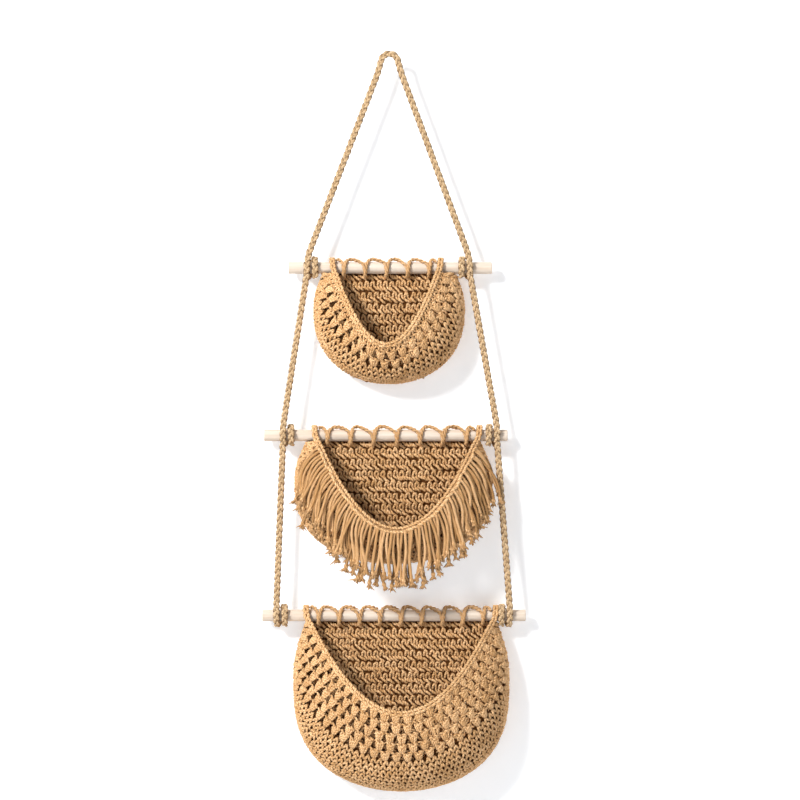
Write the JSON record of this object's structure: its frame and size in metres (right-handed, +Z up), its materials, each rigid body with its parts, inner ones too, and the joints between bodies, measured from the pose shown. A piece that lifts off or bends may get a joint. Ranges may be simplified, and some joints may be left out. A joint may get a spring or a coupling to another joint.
{
  "type": "hanging fruit basket",
  "caption": "Rope-hung wall storage: wooden dowels on a plaited rope, each carrying a crocheted half-round basket with an open mouth.",
  "frame": {"origin": "inner crown of the rope's bight, where it lies on a hook", "axes": "+Z up, +X to the viewer's right, the open fronts face -Y and the wall is on the +Y side"},
  "size_m": [0.357, 0.1131, 1],
  "materials": {
    "plaited_rope": "three-strand plaited cotton cord, matt",
    "crochet": "crocheted tan cotton cord, matt",
    "edge_cord": "twisted tan cotton cord, matt",
    "fringe_cord": "twisted tan cotton cord with frayed ends, matt",
    "pale_wood": "bare sanded pale wood"
  },
  "bodies": {
    "hanger": {"hanger_bight": "plaited_rope"},
    "top_tier": {"upper_rope_left": "plaited_rope", "upper_rope_right": "plaited_rope", "top_hitch_left": "plaited_rope", "top_hitch_right": "plaited_rope", "top_dowel": "pale_wood"},
    "top_basket": {"top_back_panel": "crochet", "top_side_seam": "crochet", "top_front_pocket": "crochet", "top_rim_border": "edge_cord", "top_rim_loops": "edge_cord", "top_lacing": "edge_cord"},
    "middle_tier": {"middle_rope_left": "plaited_rope", "middle_rope_right": "plaited_rope", "middle_hitch_left": "plaited_rope", "middle_hitch_right": "plaited_rope", "middle_dowel": "pale_wood"},
    "middle_basket": {"middle_back_panel": "crochet", "middle_side_seam": "crochet", "middle_front_pocket": "crochet", "middle_rim_border": "edge_cord", "middle_rim_loops": "edge_cord", "middle_lacing": "edge_cord", "middle_fringe": "fringe_cord"},
    "bottom_tier": {"lower_rope_left": "plaited_rope", "lower_rope_right": "plaited_rope", "bottom_hitch_left": "plaited_rope", "bottom_hitch_right": "plaited_rope", "bottom_dowel": "pale_wood"},
    "bottom_basket": {"bottom_back_panel": "crochet", "bottom_side_seam": "crochet", "bottom_front_pocket": "crochet", "bottom_rim_border": "edge_cord", "bottom_rim_loops": "edge_cord", "bottom_lacing": "edge_cord"}
  },
  "joints": [
    {"name": "hanger_swing", "type": "hinge", "parent": "hanger", "child": "top_tier", "pos_m": [0, 0, -0.021], "axis": [-1, 0, 0], "range_deg": [0, 30]},
    {"name": "top_basket_tilt", "type": "hinge", "parent": "top_tier", "child": "top_basket", "pos_m": [0, 0.0127, -0.284], "axis": [-1, 0, 0], "range_deg": [0, 50]},
    {"name": "middle_tier_swing", "type": "hinge", "parent": "top_tier", "child": "middle_tier", "pos_m": [0, 0.0127, -0.284], "axis": [-1, 0, 0], "range_deg": [0, 25]},
    {"name": "middle_basket_tilt", "type": "hinge", "parent": "middle_tier", "child": "middle_basket", "pos_m": [0, 0.0127, -0.511], "axis": [-1, 0, 0], "range_deg": [0, 50]},
    {"name": "bottom_tier_swing", "type": "hinge", "parent": "middle_tier", "child": "bottom_tier", "pos_m": [0, 0.0127, -0.511], "axis": [-1, 0, 0], "range_deg": [0, 25]},
    {"name": "bottom_basket_tilt", "type": "hinge", "parent": "bottom_tier", "child": "bottom_basket", "pos_m": [0, 0.0127, -0.755], "axis": [-1, 0, 0], "range_deg": [0, 50]}
  ]
}
